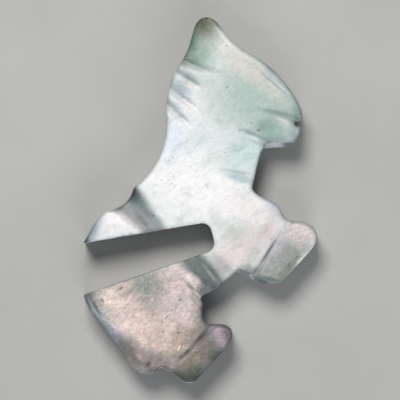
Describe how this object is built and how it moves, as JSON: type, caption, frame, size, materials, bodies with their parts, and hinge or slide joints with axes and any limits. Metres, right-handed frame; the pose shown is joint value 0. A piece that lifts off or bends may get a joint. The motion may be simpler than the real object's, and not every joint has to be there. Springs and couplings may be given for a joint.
{
  "type": "carved jade horse bead",
  "caption": "Flat pale green jade bead carved as a horse in profile, with a waist groove, an open slot behind the back and a cord hole through the neck.",
  "frame": {"origin": "under the middle of the outline, on the flat back face that the bead lies on", "axes": "+X from the tail to the muzzle, +Y from the hind hoof to the ear, +Z out of the carved front face"},
  "size_m": [0.027, 0.042, 0.005],
  "materials": {
    "jade": "polished"
  },
  "bodies": {
    "root": {"horse_bead": "jade"}
  },
  "joints": []
}
